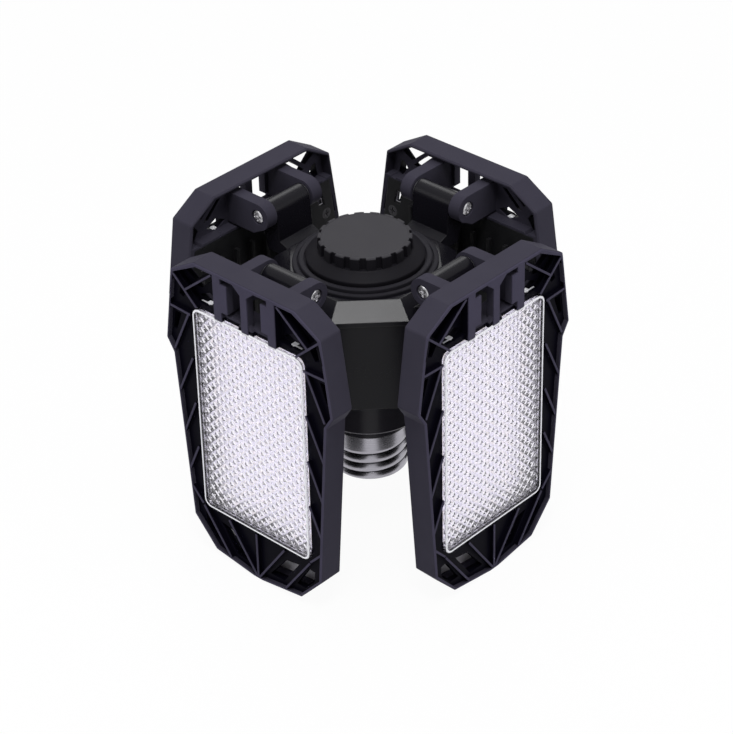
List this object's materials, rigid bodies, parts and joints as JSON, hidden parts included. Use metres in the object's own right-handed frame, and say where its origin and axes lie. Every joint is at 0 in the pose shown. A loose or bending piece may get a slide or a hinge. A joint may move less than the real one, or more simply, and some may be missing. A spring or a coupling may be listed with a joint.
{
  "type": "folding garage light",
  "caption": "Screw-in garage light with an eight-sided hub and hinged light panels that fold down beside it or swing out flat.",
  "frame": {"origin": "on the lamp's axis, at the level of the lower tips of the folded panels", "axes": "+Z along the lamp's axis from the screw base towards the cap; the front panel faces -Y and the right panel +X"},
  "size_m": [0.1124, 0.1124, 0.1151],
  "materials": {
    "panel_plastic": "fine satin moulded black with a cool grey sheen",
    "hub_plastic": "satin moulded charcoal",
    "cap_plastic": "satin charcoal",
    "lens_diffuser": "clear acrylic moulded with small pyramids, frosted white at its rim",
    "led_board_white": "white solder mask on aluminium",
    "led_phosphor": "pale phosphor",
    "heat_plate_black": "black outside, bare on the side towards the light",
    "screw_steel": "bright zinc",
    "washer_steel": "plain spring steel",
    "shell_nickel": "bright nickel plate",
    "insulator_black": "glossy black",
    "contact_brass": "solder-tipped brass",
    "circuit_board": "green solder mask",
    "post_nylon": "natural nylon",
    "ferrite": "grey ferrite with yellow tape",
    "capacitor_sleeve": "dark shrink sleeve",
    "copper_winding": "enamelled copper",
    "chip_black": "moulded epoxy",
    "socket_nylon": "cream nylon"
  },
  "bodies": {
    "hub": {"hub_cover": "hub_plastic", "hub_housing": "hub_plastic", "hub_screws": "screw_steel", "base_collar": "hub_plastic", "cap_ring": "cap_plastic", "vent_cap": "cap_plastic", "screw_shell": "shell_nickel", "tip_insulator": "insulator_black", "centre_contact": "contact_brass", "driver_board": "circuit_board", "board_posts": "post_nylon", "transformer": "ferrite", "capacitors": "capacitor_sleeve", "inductor": "copper_winding", "board_chips": "chip_black", "lead_sockets": "socket_nylon", "hinge_screws_front": "screw_steel", "friction_washers_front": "washer_steel", "hinge_screws_right": "screw_steel", "friction_washers_right": "washer_steel", "hinge_screws_back": "screw_steel", "friction_washers_back": "washer_steel", "hinge_screws_left": "screw_steel", "friction_washers_left": "washer_steel"},
    "panel_front": {"panel_frame_front": "panel_plastic", "lens_front": "lens_diffuser", "led_board_front": "led_board_white", "led_chips_front": "led_phosphor", "back_cover_front": "heat_plate_black", "cover_screws_front": "screw_steel"},
    "panel_right": {"panel_frame_right": "panel_plastic", "lens_right": "lens_diffuser", "led_board_right": "led_board_white", "led_chips_right": "led_phosphor", "back_cover_right": "heat_plate_black", "cover_screws_right": "screw_steel"},
    "panel_back": {"panel_frame_back": "panel_plastic", "lens_back": "lens_diffuser", "led_board_back": "led_board_white", "led_chips_back": "led_phosphor", "back_cover_back": "heat_plate_black", "cover_screws_back": "screw_steel"},
    "panel_left": {"panel_frame_left": "panel_plastic", "lens_left": "lens_diffuser", "led_board_left": "led_board_white", "led_chips_left": "led_phosphor", "back_cover_left": "heat_plate_black", "cover_screws_left": "screw_steel"}
  },
  "joints": [
    {"name": "front_panel_fold", "type": "hinge", "parent": "hub", "child": "panel_front", "pos_m": [0, -0.0365, 0.1073], "axis": [-1, 0, 0], "range_deg": [0, 90]},
    {"name": "right_panel_fold", "type": "hinge", "parent": "hub", "child": "panel_right", "pos_m": [0.0365, 0, 0.1073], "axis": [0, -1, 0], "range_deg": [0, 90]},
    {"name": "back_panel_fold", "type": "hinge", "parent": "hub", "child": "panel_back", "pos_m": [0, 0.0365, 0.1073], "axis": [1, 0, 0], "range_deg": [0, 90]},
    {"name": "left_panel_fold", "type": "hinge", "parent": "hub", "child": "panel_left", "pos_m": [-0.0365, 0, 0.1073], "axis": [0, 1, 0], "range_deg": [0, 90]}
  ]
}
